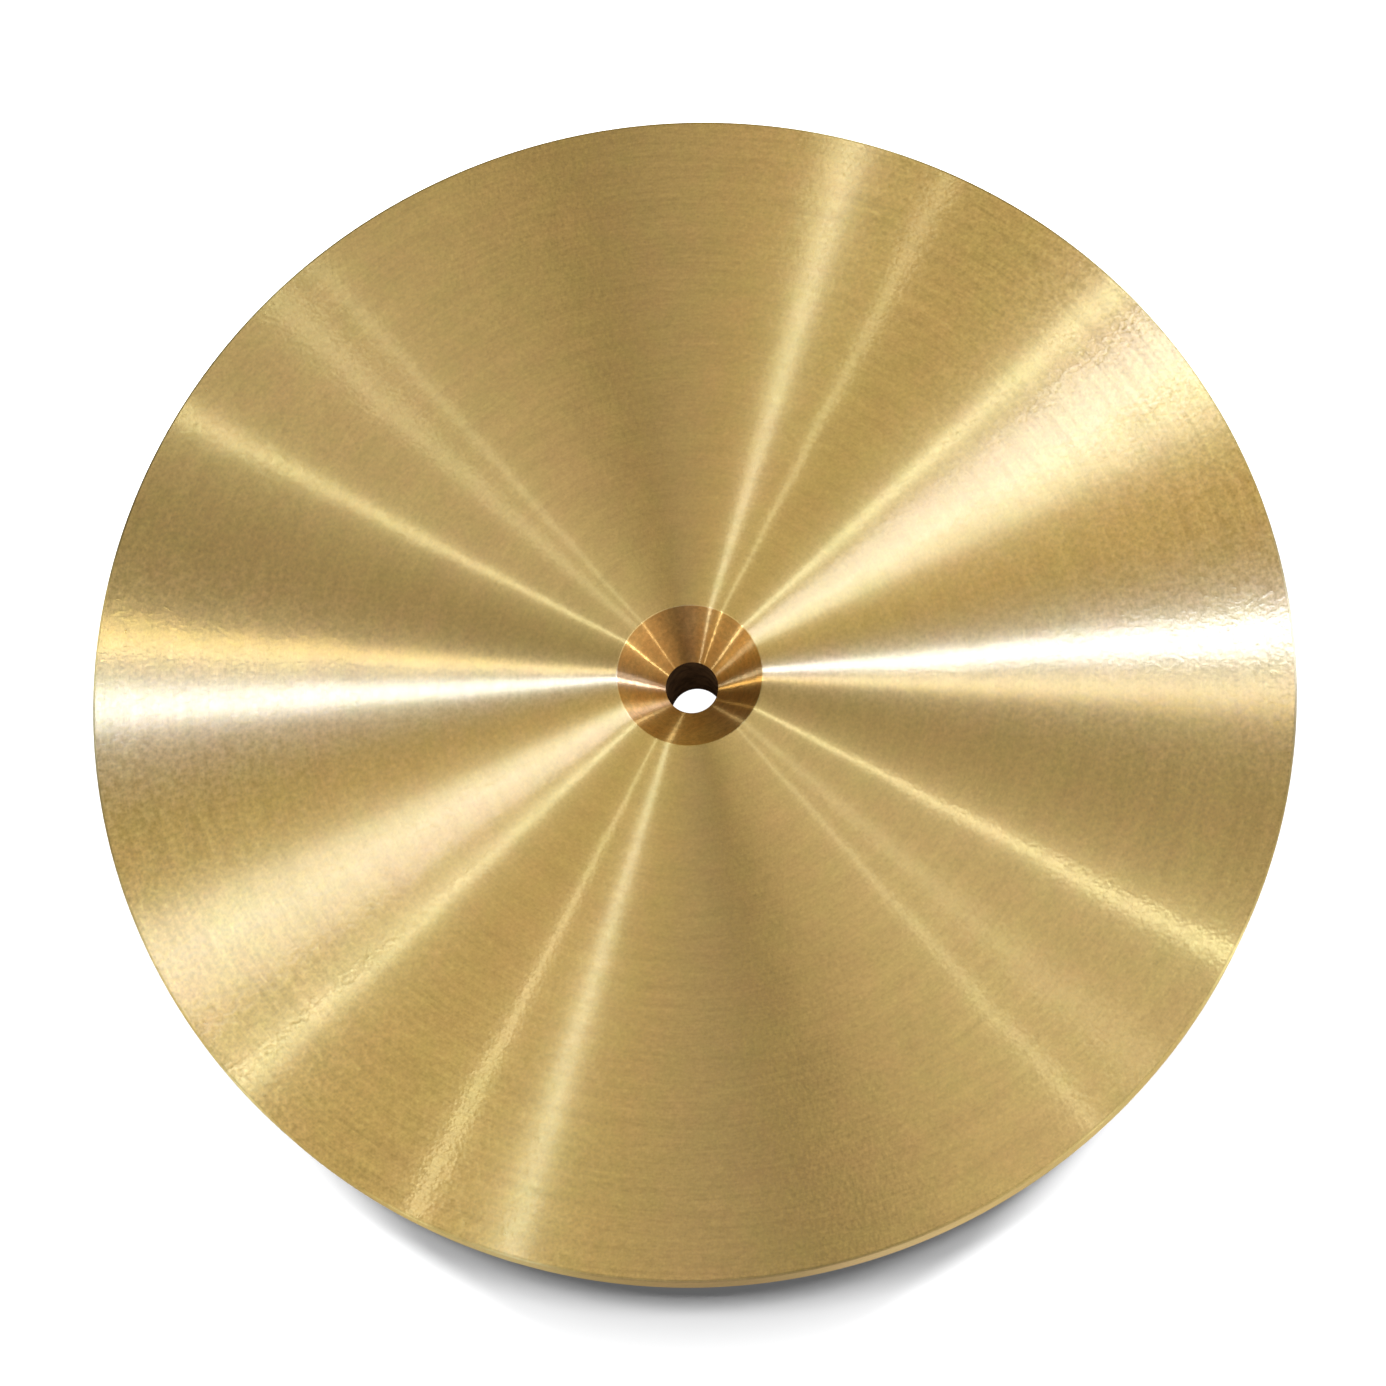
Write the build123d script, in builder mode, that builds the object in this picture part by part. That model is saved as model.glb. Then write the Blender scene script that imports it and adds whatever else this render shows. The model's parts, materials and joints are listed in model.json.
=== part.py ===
from build123d import *

# A low-octave crotale, or antique cymbal: one thick turned disc of bell bronze, tuned to a single note.
# It lies with its flat face up and its boss down. +Z is the turning axis, and the origin is at the
# centre of the boss's flat end, which is the lowest plane of the part. Lengths are in millimetres.

import os
from math import radians, tan

# Driving dimensions
DISC_DIAMETER = 140.0
PLATE_THICKNESS = 5.75
BORE_DIAMETER = 6.2
BORE_LENGTH = 12.0
CUP_DIAMETER = 17.0
CUP_ANGLE = 90.0

# The boss is a short solid cone on the back of the plate, and the bore runs on through it.
BOSS_ROOT_DIAMETER = 27.0
BOSS_END_DIAMETER = 22.0
BOSS_ROOT_FILLET = 4.0
BOSS_END_FILLET = 3.0

# Edges broken on the lathe
RIM_FACE_FILLET = 0.3
RIM_BACK_FILLET = 0.5
CUP_MOUTH_FILLET = 0.2
BORE_END_CHAMFER = 0.4

# The cup is the cone that opens the bore out to the face. Its floor is the bore's upper end.
bore_radius = BORE_DIAMETER / 2
cup_radius = CUP_DIAMETER / 2
cup_depth = (cup_radius - bore_radius) / tan(radians(CUP_ANGLE / 2))
face_z = BORE_LENGTH + cup_depth
back_z = face_z - PLATE_THICKNESS

os.makedirs("parts", exist_ok=True)

with BuildPart() as cymbal_disc:
    # Half-section of the turned blank: boss end, back of the plate, rim and flat face
    with BuildSketch(Plane.XZ):
        with BuildLine():
            Polyline(
                (0, 0),
                (BOSS_END_DIAMETER / 2, 0),
                (BOSS_ROOT_DIAMETER / 2, back_z),
                (DISC_DIAMETER / 2, back_z),
                (DISC_DIAMETER / 2, face_z),
                (0, face_z),
                close=True,
            )
        make_face()
    revolve(axis=Axis.Z)

    # The blank's four circular edges: boss end, boss root, rim at the back and rim at the face
    fillet(edges().group_by(Axis.Z)[0], BOSS_END_FILLET)
    back_edges = edges().filter_by_position(Axis.Z, back_z, back_z)
    fillet(back_edges.sort_by(SortBy.RADIUS)[0], BOSS_ROOT_FILLET)
    back_edges = edges().filter_by_position(Axis.Z, back_z, back_z)
    fillet(back_edges.sort_by(SortBy.RADIUS)[-1], RIM_BACK_FILLET)
    fillet(edges().group_by(Axis.Z)[-1], RIM_FACE_FILLET)

    # The cup and the bore, drilled from the face
    with Locations((0, 0, face_z)):
        CounterSinkHole(bore_radius, cup_radius, counter_sink_angle=CUP_ANGLE)
    fillet(edges().group_by(Axis.Z)[-1].sort_by(SortBy.RADIUS)[0], CUP_MOUTH_FILLET)
    chamfer(edges().group_by(Axis.Z)[0].sort_by(SortBy.RADIUS)[0], BORE_END_CHAMFER)

cymbal_disc.part.label = "cymbal_disc"
export_step(cymbal_disc.part, "parts/cymbal_disc.step")
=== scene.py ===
import json
from collections import namedtuple
from math import asin, ceil, cos, pi, radians, sin, tan

import bpy
from mathutils import Matrix, Vector


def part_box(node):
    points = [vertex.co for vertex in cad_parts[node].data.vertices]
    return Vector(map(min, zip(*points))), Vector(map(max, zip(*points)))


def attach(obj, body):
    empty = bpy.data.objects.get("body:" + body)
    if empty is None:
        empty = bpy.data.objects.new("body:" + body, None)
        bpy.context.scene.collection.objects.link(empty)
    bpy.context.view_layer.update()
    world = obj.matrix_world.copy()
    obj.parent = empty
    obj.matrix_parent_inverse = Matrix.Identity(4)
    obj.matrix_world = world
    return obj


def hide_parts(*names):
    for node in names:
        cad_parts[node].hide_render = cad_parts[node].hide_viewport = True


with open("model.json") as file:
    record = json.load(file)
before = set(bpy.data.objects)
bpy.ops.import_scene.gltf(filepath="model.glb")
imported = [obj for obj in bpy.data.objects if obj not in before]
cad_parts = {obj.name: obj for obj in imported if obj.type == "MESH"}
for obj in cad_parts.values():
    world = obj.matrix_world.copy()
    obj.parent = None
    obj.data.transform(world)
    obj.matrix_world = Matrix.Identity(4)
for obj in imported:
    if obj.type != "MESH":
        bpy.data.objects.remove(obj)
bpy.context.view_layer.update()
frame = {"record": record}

# The disc's measures, from the frame. Lengths are in metres.
MM = 0.001
low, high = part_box("cymbal_disc")
disc_radius = (high.x - low.x) / 2
face_z = high.z
bore_mount = next(mount for mount in frame["record"]["mounts"] if mount["name"] == "bore")
bore_radius = bore_mount["dims"]["r_mm"] * MM

# The rest of the half-section
PLATE_THICKNESS = 5.75 * MM
CUP_RADIUS = 8.5 * MM
BOSS_ROOT_RADIUS = 13.5 * MM
BOSS_END_RADIUS = 11.0 * MM
BORE_END_CHAMFER = 0.4 * MM
back_z = face_z - PLATE_THICKNESS
cup_floor_z = face_z - (CUP_RADIUS - bore_radius)

# The camera, seen from the middle of the face. The disc's own -Y side is nearest to it.
CAMERA_DISTANCE = 5.765 * disc_radius
CAMERA_TILT = radians(16.32)
CAMERA_ROLL = radians(-11.18)
CAMERA_LENS = 90.23
CLIP_START = 0.01
CLIP_END = 50
# How far beside the middle of the face the camera looks, as shares of its distance
AIM_RIGHT = 0.0010
AIM_DOWN = 0.0052


def unit(vector):
    return vector / vector.length


# ---------------------------------------------------------------- camera

def make_camera():
    """A camera above the face, turned about its line of sight, with the face almost in mid-frame."""
    toward = Vector((0, -sin(CAMERA_TILT), cos(CAMERA_TILT)))
    across = Vector((1, 0, 0))
    upward = Vector((0, cos(CAMERA_TILT), sin(CAMERA_TILT)))
    right = cos(CAMERA_ROLL) * across + sin(CAMERA_ROLL) * upward
    up = cos(CAMERA_ROLL) * upward - sin(CAMERA_ROLL) * across
    forward = unit(-toward + AIM_RIGHT * right - AIM_DOWN * up)
    right = unit(right - forward * right.dot(forward))
    up = right.cross(forward)

    data = bpy.data.cameras.new("camera")
    data.lens = CAMERA_LENS
    data.clip_start = CLIP_START
    data.clip_end = CLIP_END
    camera = bpy.data.objects.new("camera", data)
    turn = Matrix((right, up, -forward)).transposed().to_4x4()
    place = Vector((0, 0, face_z)) + CAMERA_DISTANCE * toward
    camera.matrix_world = Matrix.Translation(place) @ turn
    bpy.context.scene.collection.objects.link(camera)
    bpy.context.scene.camera = camera


# ---------------------------------------------------------------- mesh

Corner = namedtuple("Corner", "r z fillet material")
FACE, CUP, BORE, RIM = range(4)
TURNS = 360
RUN_STEP = 2.5 * MM
ARC_STEP = radians(9)


def half_section():
    """The corners of the disc's half-section, from the bore's lower end outwards and round. A corner's
    material is that of the run which leaves it. Its own arc has that of the run before."""
    return [
        Corner(bore_radius + BORE_END_CHAMFER, low.z, 0.1 * MM, FACE),
        Corner(BOSS_END_RADIUS, low.z, 3.0 * MM, FACE),
        Corner(BOSS_ROOT_RADIUS, back_z, 4.0 * MM, FACE),
        Corner(disc_radius, back_z, 0.5 * MM, RIM),
        Corner(disc_radius, face_z, 0.3 * MM, FACE),
        Corner(CUP_RADIUS, face_z, 0.2 * MM, CUP),
        Corner(bore_radius, cup_floor_z, 0.12 * MM, BORE),
        Corner(bore_radius, low.z + BORE_END_CHAMFER, 0.1 * MM, BORE),
    ]


def outward(direction):
    """The normal to the right of a run, which is out of the metal."""
    return Vector((direction.y, -direction.x))


def rounded_outline(corners):
    """Points (r, z), their outward normals and the material of the run after each, round the whole
    section. Each corner becomes an arc, so the normals turn without a break."""
    points, normals, materials = [], [], []
    count = len(corners)
    starts, ends = [], []
    for i, corner in enumerate(corners):
        here = Vector((corner.r, corner.z))
        before = Vector(corners[i - 1][:2])
        after = Vector(corners[(i + 1) % count][:2])
        arrive, leave = unit(here - before), unit(after - here)
        turn = arrive.angle_signed(leave)
        cut = corner.fillet * tan(abs(turn) / 2)
        starts.append(here - cut * arrive)
        ends.append(here + cut * leave)
    for i, corner in enumerate(corners):
        here = Vector((corner.r, corner.z))
        arrive, leave = unit(here - starts[i]), unit(ends[i] - here)
        steps = max(2, ceil(arrive.angle(leave) / ARC_STEP))
        first, last = outward(arrive), outward(leave)
        bend = 1 if arrive.x * leave.y - arrive.y * leave.x > 0 else -1
        centre = starts[i] - bend * corner.fillet * first
        for step in range(steps + 1):
            normal = unit(first.slerp(last, step / steps))
            points.append(centre + bend * corner.fillet * normal)
            normals.append(normal)
            materials.append(corner.material if step == steps else corners[i - 1].material)
        run = starts[(i + 1) % count] - ends[i]
        steps = max(1, round(run.length / RUN_STEP))
        for step in range(1, steps):
            points.append(ends[i] + run * step / steps)
            normals.append(last)
            materials.append(corner.material)
    return points, normals, materials


def make_disc(materials):
    """The disc, as its rounded half-section turned about Z."""
    outline, outline_normals, runs = rounded_outline(half_section())
    count = len(outline)
    vertices, normals = [], []
    for turn in range(TURNS):
        cosine, sine = cos(2 * pi * turn / TURNS), sin(2 * pi * turn / TURNS)
        vertices += [(point.x * cosine, point.x * sine, point.y) for point in outline]
        normals += [(normal.x * cosine, normal.x * sine, normal.y) for normal in outline_normals]
    faces, face_materials = [], []
    for turn in range(TURNS):
        here, there = turn * count, (turn + 1) % TURNS * count
        for start in range(count):
            after = (start + 1) % count
            faces.append((here + start, there + start, there + after, here + after))
            face_materials.append(runs[start])
    mesh = bpy.data.meshes.new("turned_bronze_disc")
    mesh.from_pydata(vertices, [], faces)
    for material in materials:
        mesh.materials.append(material)
    mesh.polygons.foreach_set("material_index", face_materials)
    mesh.polygons.foreach_set("use_smooth", [True] * len(faces))
    mesh.normals_split_custom_set_from_vertices(normals)
    mesh.update()
    disc = bpy.data.objects.new("turned_bronze_disc", mesh)
    bpy.context.scene.collection.objects.link(disc)
    return disc


# ---------------------------------------------------------------- materials

def add(tree, kind, inputs=None, **settings):
    """A new node with its settings and inputs. An input is a value, or a socket to link from."""
    node = tree.nodes.new(kind)
    for name, value in settings.items():
        setattr(node, name, value)
    for name, value in (inputs or {}).items():
        if isinstance(value, bpy.types.NodeSocket):
            tree.links.new(value, node.inputs[name])
        else:
            node.inputs[name].default_value = value
    return node


def calc(tree, operation, first, second=0.0):
    """The result of a sum on two values."""
    return add(tree, "ShaderNodeMath", {0: first, 1: second}, operation=operation).outputs[0]


def dot(tree, vector, side):
    """How far a vector goes in the direction side."""
    inputs = {0: vector, 1: side}
    return add(tree, "ShaderNodeVectorMath", inputs, operation="DOT_PRODUCT").outputs["Value"]


def mix_colours(tree, blend, factor, first, second):
    """Two colours mixed."""
    node = add(tree, "ShaderNodeMix", data_type="RGBA", blend_type=blend)
    colours = [socket for socket in node.inputs if socket.type == "RGBA"]
    for socket, value in zip((node.inputs[0], *colours), (factor, first, second)):
        if isinstance(value, bpy.types.NodeSocket):
            tree.links.new(value, socket)
        else:
            socket.default_value = value
    return next(socket for socket in node.outputs if socket.type == "RGBA")


# How much the marks' pattern moves on with height, so that they also ring the cup, the bore and the rim
HEIGHT_SHARE = 0.7


def lathe_coordinates(tree):
    """The point itself, its unit direction and distance from the axis, and a length that runs across the
    turning marks."""
    point = add(tree, "ShaderNodeTexCoord").outputs["Object"]
    flat = add(tree, "ShaderNodeVectorMath", {0: point, 1: (1, 1, 0)}, operation="MULTIPLY").outputs[0]
    direction = add(tree, "ShaderNodeVectorMath", {0: flat}, operation="NORMALIZE").outputs[0]
    radial = add(tree, "ShaderNodeVectorMath", {0: flat}, operation="LENGTH").outputs["Value"]
    height = add(tree, "ShaderNodeSeparateXYZ", {0: point}).outputs["Z"]
    along = calc(tree, "ADD", radial, calc(tree, "MULTIPLY", height, HEIGHT_SHARE))
    return point, direction, radial, along


# The depths of the relief: fine turning lines, and a plate that isn't quite flat
LINE_HEIGHT = 0.001 * MM
WAVE_HEIGHT = 0.12 * MM
# How much lighter or darker each kind of mark makes the metal
LINE_SHADE = 0.05
RING_SHADE = 0.02
STREAK_SHADE = 0.05
SPECKLE_SHADE = 0.06
# Two opposite sides are worn. There the pebbles are deeper, the higher ones are darker, and the lines
# stand out. The wear grows from WORN_FROM of the radius to the rim.
WORN_SIDE = (cos(radians(23)), sin(radians(23)), 0)
WORN_FROM = 0.5
WORN_HEIGHT = 0.005 * MM
WORN_PEBBLE_SHADE = 0.08
WORN_LINE_SHADE = 0.07
# How much of the pebbles shows at the axis. All of it shows at the rim.
PEBBLES_AT_AXIS = 0.3
# At full anisotropy the Principled shader divides its roughness squared by this for its wide direction.
FULL_ASPECT = 0.1 ** 0.5


def turned_noise(tree, direction, along, around, pitch, detail):
    """Noise drawn out round the axis: its marks are 1/around radians long and pitch wide."""
    across = add(tree, "ShaderNodeCombineXYZ", {"Z": calc(tree, "DIVIDE", along, pitch)}).outputs[0]
    ring = add(
        tree,
        "ShaderNodeVectorMath",
        {0: direction, 1: (around, around, around), 2: across},
        operation="MULTIPLY_ADD",
    ).outputs[0]
    inputs = {"Vector": ring, "Scale": 1.0, "Detail": detail, "Roughness": 0.6}
    return add(tree, "ShaderNodeTexNoise", inputs).outputs["Fac"]


def even_noise(tree, point, size, detail):
    """Noise whose marks are as long as they are wide, about size across."""
    inputs = {"Vector": point, "Scale": 1 / size, "Detail": detail, "Roughness": 0.5}
    return add(tree, "ShaderNodeTexNoise", inputs).outputs["Fac"]


def remap(tree, value, start, end):
    """Noise from a third to two thirds, spread from start to end."""
    inputs = {"Value": value, "From Min": 0.33, "From Max": 0.67, "To Min": start, "To Max": end}
    return add(tree, "ShaderNodeMapRange", inputs, clamp=False).outputs["Result"]


def swing(tree, value, amount):
    """Noise spread evenly on both sides of zero."""
    return remap(tree, value, -amount, amount)


def bronze(name, colour, blush, shine, rough_around, rough_across, softness, pebble_shift, pebble_height):
    """Turned bell bronze. Light spreads across the turning marks and hardly along them, so each lamp
    draws a beam out from the axis. rough_around and rough_across are the narrow lobe's widths, as GGX
    alpha, shine is how much brighter than the colour it is, and softness is the share of the wide lobe.
    The pebbled grain shifts that share by pebble_shift and tilts the surface by pebble_height."""
    material = bpy.data.materials.new(name)
    material.use_nodes = True
    tree = material.node_tree
    tree.nodes.clear()
    point, direction, radial, along = lathe_coordinates(tree)

    lines = turned_noise(tree, direction, along, around=5, pitch=0.45 * MM, detail=3)
    rings = turned_noise(tree, direction, along, around=2, pitch=2.2 * MM, detail=2)
    streaks = turned_noise(tree, direction, along, around=50, pitch=0.24 * MM, detail=1)
    pebbles = even_noise(tree, point, size=0.55 * MM, detail=1)
    bloom = even_noise(tree, point, size=3.0 * MM, detail=3)
    patches = even_noise(tree, point, size=16 * MM, detail=2)
    waves = even_noise(tree, point, size=24 * MM, detail=3)
    speckle = even_noise(tree, point, size=0.32 * MM, detail=1)
    outer = add(
        tree,
        "ShaderNodeMapRange",
        {"Value": radial, "From Max": disc_radius, "To Min": PEBBLES_AT_AXIS, "To Max": 1.0},
    ).outputs["Result"]

    edge = add(
        tree,
        "ShaderNodeMapRange",
        {"Value": radial, "From Min": WORN_FROM * disc_radius, "From Max": disc_radius},
    ).outputs["Result"]
    facing = dot(tree, direction, WORN_SIDE)
    facing_squared = calc(tree, "MULTIPLY", facing, facing)
    worn = calc(tree, "MULTIPLY", calc(tree, "POWER", facing_squared, 2.0), edge)

    ringed = remap(tree, rings, 1 - RING_SHADE, 1 + RING_SHADE)
    speckled = calc(tree, "MULTIPLY", swing(tree, speckle, SPECKLE_SHADE), outer)
    worn_pebbles = swing(tree, pebbles, -WORN_PEBBLE_SHADE)
    marked = calc(tree, "ADD", worn_pebbles, swing(tree, lines, WORN_LINE_SHADE))
    shade = calc(tree, "ADD", swing(tree, lines, LINE_SHADE), ringed)
    shade = calc(tree, "ADD", shade, swing(tree, streaks, STREAK_SHADE))
    shade = calc(tree, "ADD", shade, speckled)
    shade = calc(tree, "ADD", shade, calc(tree, "MULTIPLY", marked, worn))
    mottling = calc(tree, "ADD", remap(tree, patches, 0.0, 0.5), remap(tree, bloom, 0.0, 0.5))
    mottled = mix_colours(tree, "MIX", mottling, colour, blush)
    shaded = add(tree, "ShaderNodeVectorMath", {0: mottled, 3: shade}, operation="SCALE").outputs[0]

    height = calc(tree, "MULTIPLY", calc(tree, "MULTIPLY", pebbles, pebble_height), outer)
    height = calc(tree, "ADD", height, calc(tree, "MULTIPLY", lines, LINE_HEIGHT))
    height = calc(tree, "ADD", height, calc(tree, "MULTIPLY", waves, WAVE_HEIGHT))
    deepened = calc(tree, "MULTIPLY", calc(tree, "MULTIPLY", pebbles, WORN_HEIGHT), worn)
    height = calc(tree, "ADD", height, deepened)
    bumped = add(tree, "ShaderNodeBump", {"Height": height, "Strength": 1.0, "Distance": 1.0}).outputs[0]
    marks = add(tree, "ShaderNodeTangent", direction_type="RADIAL", axis="Z").outputs[0]

    wide_roughness = (rough_across * FULL_ASPECT) ** 0.5
    metal = add(
        tree,
        "ShaderNodeBsdfPrincipled",
        {
            "Base Color": shaded,
            "Metallic": 1.0,
            "Roughness": wide_roughness,
            "Anisotropic": 1.0,
            "Anisotropic Rotation": 0.25,
            "Normal": bumped,
            "Tangent": marks,
        },
    )
    polished = add(tree, "ShaderNodeVectorMath", {0: shaded, 3: shine}, operation="SCALE").outputs[0]
    sharp = add(
        tree,
        "ShaderNodeBsdfAnisotropic",
        {
            "Color": polished,
            "Roughness": (rough_around * rough_across) ** 0.25,
            "Anisotropy": 1 - (rough_around / rough_across) ** 0.5,
            "Normal": bumped,
            "Tangent": marks,
        },
    )
    pebbled = calc(tree, "MULTIPLY", swing(tree, pebbles, pebble_shift), outer)
    share = calc(tree, "ADD", pebbled, 1 - softness)
    mixed = add(tree, "ShaderNodeMixShader", {0: share, 1: metal.outputs[0], 2: sharp.outputs[0]})
    add(tree, "ShaderNodeOutputMaterial", {"Surface": mixed.outputs[0]})
    return material


RIFLING_HEIGHT = 0.02 * MM


def bore_bronze_painted_shade():
    """The bore's wall, as drilled. Its bronze is painted nearly black in dark brown blotches: painted
    shade for the deep hole.
    """
    material = bpy.data.materials.new("bore_bronze_painted_shade")
    material.use_nodes = True
    tree = material.node_tree
    tree.nodes.clear()
    point, direction, _, along = lathe_coordinates(tree)
    blotches = even_noise(tree, point, size=1.2 * MM, detail=3)
    # Both colours are painted shade. The bore is the disc's own bronze, drawn nearly black and brown for
    # the shade deep in the hole.
    darkest_painted_shade, lighter_painted_shade = (0.05, 0.025, 0.012, 1), (0.10, 0.05, 0.022, 1)
    colour = mix_colours(tree, "MIX", remap(tree, blotches, 0, 1), darkest_painted_shade, lighter_painted_shade)
    rifling = turned_noise(tree, direction, along, around=3, pitch=0.25 * MM, detail=2)
    bumped = add(
        tree,
        "ShaderNodeBump",
        {"Height": calc(tree, "MULTIPLY", rifling, RIFLING_HEIGHT), "Strength": 1.0, "Distance": 1.0},
    ).outputs[0]
    wall = add(
        tree,
        "ShaderNodeBsdfPrincipled",
        {
            "Base Color": colour,
            "Specular IOR Level": 0.0,
            "Roughness": remap(tree, blotches, 0.5, 0.7),
            "Normal": bumped,
        },
    )
    add(tree, "ShaderNodeOutputMaterial", {"Surface": wall.outputs[0]})
    return material


def plain(name, colour, strength=None):
    """A matt material, or a glowing one where it has a strength."""
    material = bpy.data.materials.new(name)
    material.use_nodes = True
    tree = material.node_tree
    tree.nodes.clear()
    if strength is None:
        surface = add(tree, "ShaderNodeBsdfDiffuse", {"Color": colour})
    else:
        surface = add(tree, "ShaderNodeEmission", {"Color": colour, "Strength": strength})
    add(tree, "ShaderNodeOutputMaterial", {"Surface": surface.outputs[0]})
    return material


# ---------------------------------------------------------------- lights

# The tints of the lights, each with a green of 1. A light's radiance is its tint times its strength.
BLUISH = Vector((0.80, 1.0, 1.65))
COOL = Vector((0.75, 1.0, 1.25))
WHITE = Vector((0.82, 1.0, 1.0))
CREAM = Vector((0.88, 1.0, 0.88))
AMBER = Vector((1.1, 1.0, 0.55))
GOLDEN = Vector((1.27, 1.0, 0.35))
WARM = Vector((1.13, 1.0, 0.67))
PALE = Vector((1.1, 1.0, 0.95))

# Each lamp is a long strip that draws one beam across the disc. beam is the beam's angle about the axis,
# zenith the lamp's angle from straight above, distance in disc radii and width in degrees as the disc
# sees it.
Strip = namedtuple("Strip", "name beam zenith distance width tint strength")
STRIPS = (
    Strip("broad_17", 17.5, 55, 14, 5.0, WHITE, 2.5),
    Strip("broad_23", 23.0, 55, 14, 5.0, BLUISH, 4.0),
    Strip("broad_197", 197, 55, 30, 5.0, COOL, 2.5),
    Strip("broad_203", 203, 55, 30, 5.0, AMBER, 1.0),
    Strip("shoulder_31", 31.3, 65, 40, 1.6, WHITE, 6.0),
    Strip("shoulder_212", 212.2, 65, 40, 1.6, WHITE, 12.5),
    Strip("thin_232", 232.7, 65, 60, 0.5, CREAM, 32.0),
    Strip("thin_62", 62.5, 65, 40, 2.4, CREAM, 4.5),
    Strip("thin_242", 242.3, 65, 40, 2.4, COOL, 6.5),
    Strip("thin_300", 300, 65, 40, 0.8, CREAM, 12.0),
    Strip("thin_126", 126.2, 65, 40, 2.0, CREAM, 3.0),
    Strip("thin_141", 140.7, 65, 40, 1.0, AMBER, 2.5),
    Strip("thin_320", 320.5, 65, 40, 1.0, CREAM, 26.0),
    Strip("yellow_165", 165.3, 60, 30, 2.4, AMBER, 8.5),
    Strip("yellow_346", 346.8, 60, 30, 2.4, BLUISH, 3.0),
    Strip("white_172", 172, 60, 20, 3.0, COOL, 5.0),
    Strip("white_352", 352.4, 60, 30, 3.0, BLUISH, 17.0),
)
STRIP_LENGTH = 0.7

# A soft glow round an azimuth of the room. The higher its narrowness, the less it spreads. The azimuths
# left out are dark.
Glow = namedtuple("Glow", "azimuth narrowness tint strength")
GLOWS = (
    Glow(34, 20, GOLDEN, 0.90),
    Glow(58, 20, GOLDEN, 0.15),
    Glow(82, 20, GOLDEN, 0.40),
    Glow(178, 20, GOLDEN, 0.70),
    Glow(202, 20, WARM, 0.65),
    Glow(226, 20, GOLDEN, 0.50),
    Glow(250, 20, PALE, 0.45),
    Glow(274, 20, WARM, 0.15),
    Glow(298, 20, WARM, 0.70),
    Glow(322, 20, WARM, 1.00),
    Glow(346, 20, WARM, 0.85),
)
FLOOR_GLOW = Glow(284, 24, PALE, 0.70)
# The room below the floor's level. Its share grows from level directions to those with this Z.
BELOW_FROM = -0.15
GLOW_SHARE_BELOW = 0.30
FLOOR_BOUNCE = (0.20, 0.13, 0.06, 1)
FILL_STRENGTH = 0.13
# A flat lamp gives out this many watts for each unit of radiance and of area.
RADIANCE_TO_WATTS = pi


def lamp(name, place, across, along, size_across, size_along, colour, watts, lit):
    """A rectangular lamp that shines along -(across x along) and lights only the objects in lit."""
    data = bpy.data.lights.new(name, "AREA")
    data.shape = "RECTANGLE"
    data.size = size_across
    data.size_y = size_along
    data.color = colour
    data.energy = watts
    light = bpy.data.objects.new(name, data)
    turn = Matrix((across, along, across.cross(along))).transposed().to_4x4()
    light.matrix_world = Matrix.Translation(place) @ turn
    shine_only_on(light, lit)


def sun(name, toward, angle, strength, lit):
    """A distant lamp in the direction toward, that lights only the objects in lit."""
    data = bpy.data.lights.new(name, "SUN")
    data.angle = angle
    data.energy = strength
    light = bpy.data.objects.new(name, data)
    light.matrix_world = toward.to_track_quat("Z", "Y").to_matrix().to_4x4()
    shine_only_on(light, lit)


def shine_only_on(light, lit):
    """Adds the light to the scene, and keeps its light to the objects in lit."""
    bpy.context.scene.collection.objects.link(light)
    receivers = bpy.data.collections.new(light.name + "_lights")
    for obj in lit:
        receivers.objects.link(obj)
    light.light_linking.receiver_collection = receivers


def hang_strip(strip, disc):
    """Puts a strip where its reflection in the turned face reaches the camera along the wanted beam."""
    beam, zenith = radians(strip.beam), radians(strip.zenith)
    azimuth = beam + asin(cos(beam) * sin(CAMERA_TILT) / sin(zenith))
    toward = Vector((sin(zenith) * cos(azimuth), sin(zenith) * sin(azimuth), cos(zenith)))
    around = Vector((-sin(beam), cos(beam), 0))
    along = unit(toward.cross(around))
    across = along.cross(toward)
    distance = strip.distance * disc_radius
    width = radians(strip.width) * distance
    length = STRIP_LENGTH * distance
    radiance = strip.strength * strip.tint
    peak = max(radiance)
    lamp(
        strip.name,
        Vector((0, 0, face_z)) + distance * toward,
        across,
        along,
        width,
        length,
        radiance / peak,
        peak * RADIANCE_TO_WATTS * width * length,
        [disc],
    )


def add_glow(tree, level, glow, colour):
    """The colour from a level direction, with the glow's own light added."""
    azimuth = radians(glow.azimuth)
    facing = dot(tree, level, (cos(azimuth), sin(azimuth), 0))
    reach = calc(tree, "POWER", calc(tree, "MAXIMUM", facing, 0.0), glow.narrowness)
    return mix_colours(tree, "ADD", reach, colour, (*glow.strength * glow.tint, 1))


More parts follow.
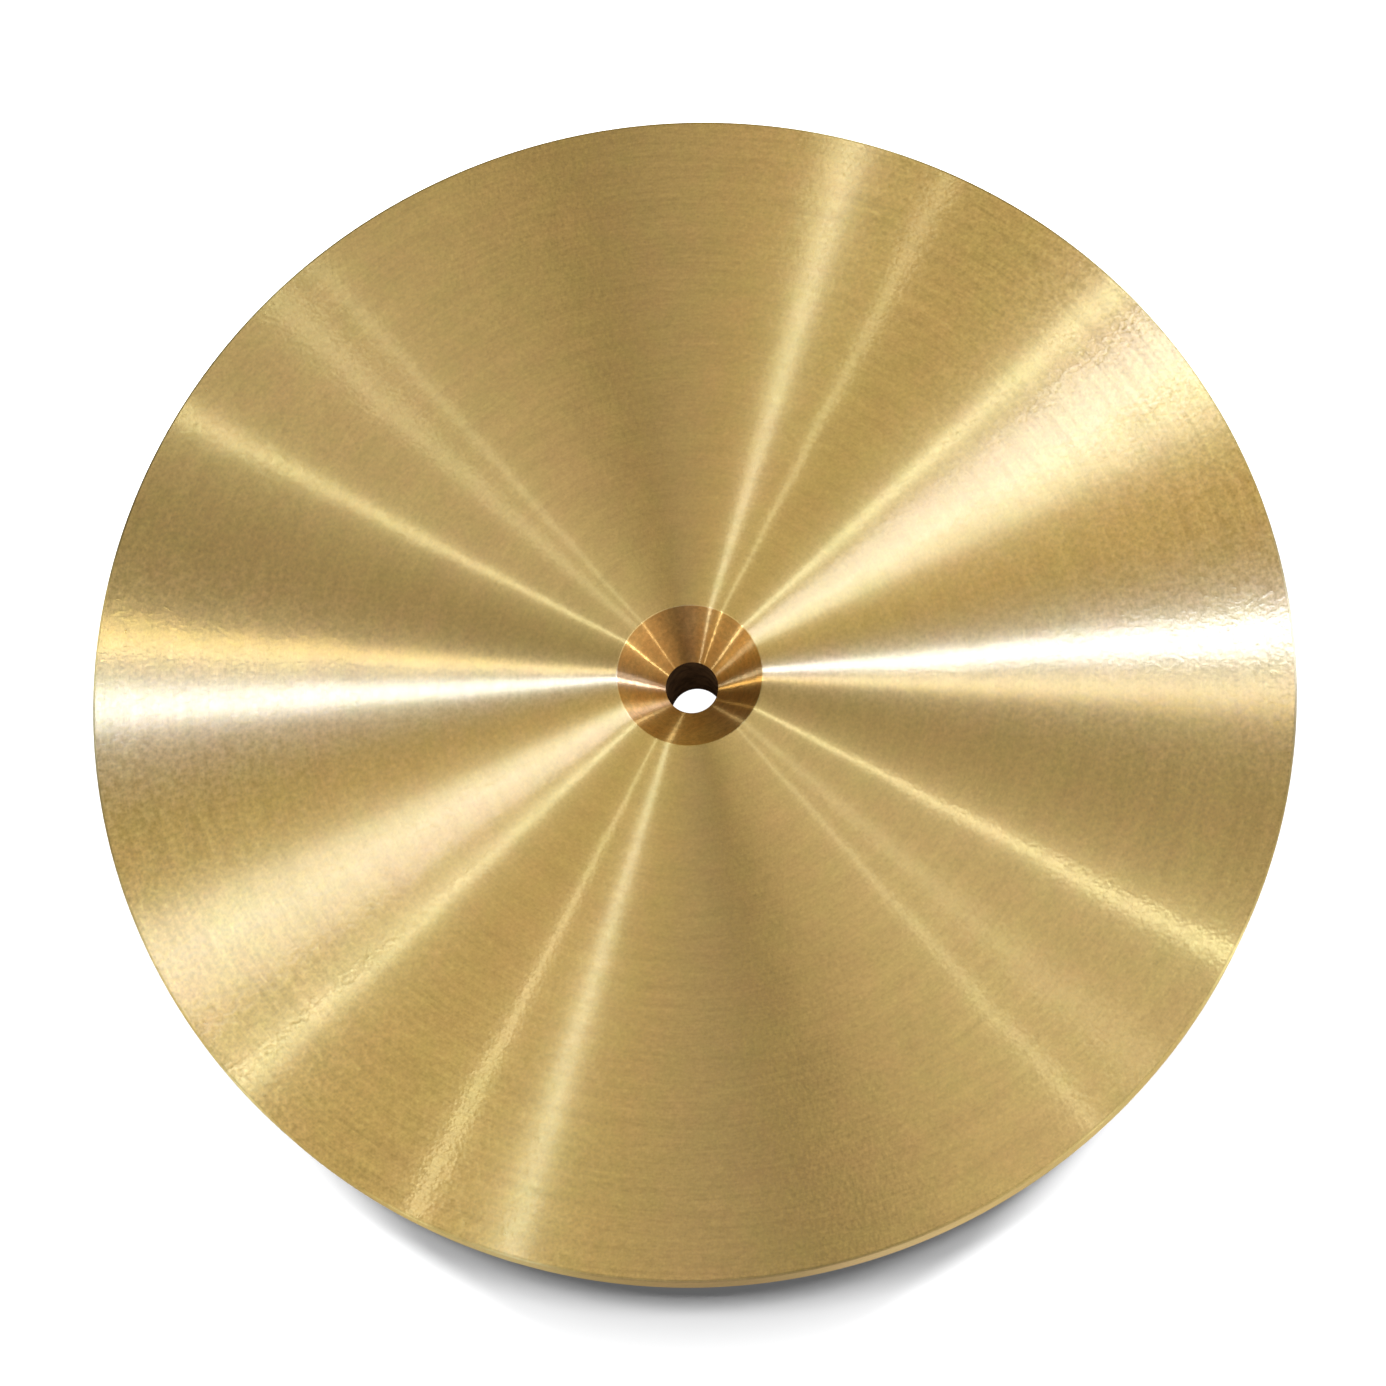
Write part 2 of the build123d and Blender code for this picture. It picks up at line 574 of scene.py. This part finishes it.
def make_world():
    """White to the eye, a dim warm room to the metal and a neutral fill to the floor. The room is brighter
    round some azimuths, and each of these soft glows draws a wide faint beam."""
    world = bpy.data.worlds.new("room")
    world.use_nodes = True
    tree = world.node_tree
    tree.nodes.clear()
    path = add(tree, "ShaderNodeLightPath")
    white = add(tree, "ShaderNodeBackground", {"Color": (1, 1, 1, 1), "Strength": 1.0})
    fill = add(tree, "ShaderNodeBackground", {"Color": (1, 1, 1, 1), "Strength": FILL_STRENGTH})
    toward = add(tree, "ShaderNodeTexCoord").outputs["Generated"]
    flat = add(tree, "ShaderNodeVectorMath", {0: toward, 1: (1, 1, 0)}, operation="MULTIPLY").outputs[0]
    level = add(tree, "ShaderNodeVectorMath", {0: flat}, operation="NORMALIZE").outputs[0]
    above = (0, 0, 0, 1)
    for glow in GLOWS:
        above = add_glow(tree, level, glow, above)
    # Below the floor's level, which only the rim and the back can see, the glows are fainter. Light
    # comes back there from the floor, most of it on one side.
    dimmed = mix_colours(tree, "MULTIPLY", 1.0, above, (*[GLOW_SHARE_BELOW] * 3, 1))
    below = mix_colours(tree, "ADD", 1.0, dimmed, FLOOR_BOUNCE)
    below = add_glow(tree, level, FLOOR_GLOW, below)
    rise = add(tree, "ShaderNodeSeparateXYZ", {0: toward}).outputs["Z"]
    inputs = {"Value": rise, "From Min": BELOW_FROM, "From Max": 0.0}
    share = add(tree, "ShaderNodeMapRange", inputs).outputs["Result"]
    room_colour = mix_colours(tree, "MIX", share, below, above)
    room = add(tree, "ShaderNodeBackground", {"Color": room_colour, "Strength": 1.0})
    glossy, camera = path.outputs["Is Glossy Ray"], path.outputs["Is Camera Ray"]
    unseen = add(tree, "ShaderNodeMixShader", {0: glossy, 1: fill.outputs[0], 2: room.outputs[0]})
    seen = add(tree, "ShaderNodeMixShader", {0: camera, 1: unseen.outputs[0], 2: white.outputs[0]})
    add(tree, "ShaderNodeOutputWorld", {"Surface": seen.outputs[0]})
    bpy.context.scene.world = world
    world.cycles.sampling_method = "NONE"


# ---------------------------------------------------------------- stage

FLOOR_HALF = 4.0
# The glowing patch under the bore is painted light, so that the hole shows white.
SPOT_SIDES = 48
SPOT_RADIUS = 1.6 * bore_radius
SPOT_LIFT = 0.05 * MM
SPOT_STRENGTH = 1.1

# The floor's lamps, each made left and right. aside and near say where a lamp is, in metres to the side
# and towards the viewer, and slant_aside and slant_near the direction its long side lies in. across and
# along are its size in metres. It hangs at a height of one metre.
FloorLamp = namedtuple("FloorLamp", "name aside near slant_aside slant_near across along watts")
FLOOR_LAMPS = (
    FloorLamp("floor_near", 0.21, 0.02, 0.32, -0.95, 0.08, 0.17, 3.2),
    FloorLamp("floor_far", 0.15, -0.25, 0.66, -0.75, 0.05, 0.76, 3.9),
)
SUN_ASIDE = 1.0
SUN_NEAR = -0.9
SUN_ANGLE = 0.21
SUN_STRENGTH = 3.5


def make_floor():
    """A wide plain sheet under the disc, that the metal doesn't mirror."""
    half = FLOOR_HALF
    corners = [(-half, -half, low.z), (half, -half, low.z), (half, half, low.z), (-half, half, low.z)]
    mesh = bpy.data.meshes.new("floor")
    mesh.from_pydata(corners, [], [(0, 1, 2, 3)])
    mesh.materials.append(plain("pale_floor", (0.92, 0.92, 0.92, 1)))
    floor = bpy.data.objects.new("floor", mesh)
    bpy.context.scene.collection.objects.link(floor)
    floor.visible_glossy = False
    return floor


def make_lit_spot():
    """A small glowing white patch of floor under the bore: painted light, so that light shows through the
    hole.
    """
    angles = [2 * pi * side / SPOT_SIDES for side in range(SPOT_SIDES)]
    ring = [(SPOT_RADIUS * cos(angle), SPOT_RADIUS * sin(angle), low.z + SPOT_LIFT) for angle in angles]
    mesh = bpy.data.meshes.new("lit_spot")
    mesh.from_pydata(ring, [], [tuple(range(SPOT_SIDES))])
    mesh.materials.append(plain("lit_floor", (1, 1, 1, 1), SPOT_STRENGTH))
    spot = bpy.data.objects.new("lit_spot", mesh)
    bpy.context.scene.collection.objects.link(spot)
    spot.visible_glossy = False
    spot.visible_diffuse = False


def light_floor(floor):
    """Two pairs of narrow lamps overhead and a pair of low suns, left and right of the disc and behind
    its near side. Only the floor at the disc's near edge is hidden from all of them, so the shadow is
    short, soft and fades to its ends. The suns light the rest of the floor evenly."""
    near = Vector((sin(CAMERA_ROLL), -cos(CAMERA_ROLL), 0))
    right = Vector((cos(CAMERA_ROLL), sin(CAMERA_ROLL), 0))
    up = Vector((0, 0, 1))
    for side_name, side in (("left", -1), ("right", 1)):
        for row in FLOOR_LAMPS:
            along = unit(side * row.slant_aside * right + row.slant_near * near)
            place = side * row.aside * right + row.near * near + up
            name = row.name + "_" + side_name
            size = (row.across, row.along)
            lamp(name, place, along.cross(up), along, *size, (1, 1, 1), row.watts, [floor])
        toward = side * SUN_ASIDE * right + SUN_NEAR * near + up
        sun("floor_sun_" + side_name, toward, SUN_ANGLE, SUN_STRENGTH, [floor])


# ---------------------------------------------------------------- scene

bpy.context.scene.view_settings.view_transform = "Standard"
make_camera()
make_world()
bell_bronze = bronze(
    "bell_bronze",
    colour=(0.865, 0.725, 0.415, 1),
    blush=(0.915, 0.695, 0.44, 1),
    shine=1.0,
    rough_around=0.010,
    rough_across=0.5,
    softness=0.5,
    pebble_shift=0.14,
    pebble_height=0.009 * MM,
)
# The cup is the face's bronze painted dark brown: painted shade for the deep countersink. Its shine is
# raised so that its highlights stay bright.
cup_bronze_painted_shade = bronze(
    "cup_bronze_painted_shade",
    colour=(0.36, 0.24, 0.11, 1),
    blush=(0.34, 0.18, 0.07, 1),
    shine=2.6,
    rough_around=0.012,
    rough_across=0.5,
    softness=0.55,
    pebble_shift=0.3,
    pebble_height=0.012 * MM,
)
# The rim, and the fillet at the face's edge, are the face's bronze painted darker: painted shade that
# keeps the bright floor's reflection in them dim.
rim_bronze_painted_shade = bronze(
    "rim_bronze_painted_shade",
    colour=(0.60, 0.51, 0.27, 1),
    blush=(0.64, 0.51, 0.29, 1),
    shine=1.1,
    rough_around=0.050,
    rough_across=0.5,
    softness=0.8,
    pebble_shift=0.1,
    pebble_height=0.004 * MM,
)
disc = make_disc([bell_bronze, cup_bronze_painted_shade, bore_bronze_painted_shade(), rim_bronze_painted_shade])
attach(disc, "root")
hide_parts("cymbal_disc")
disc.visible_diffuse = False
floor = make_floor()
make_lit_spot()
light_floor(floor)
for strip in STRIPS:
    hang_strip(strip, disc)
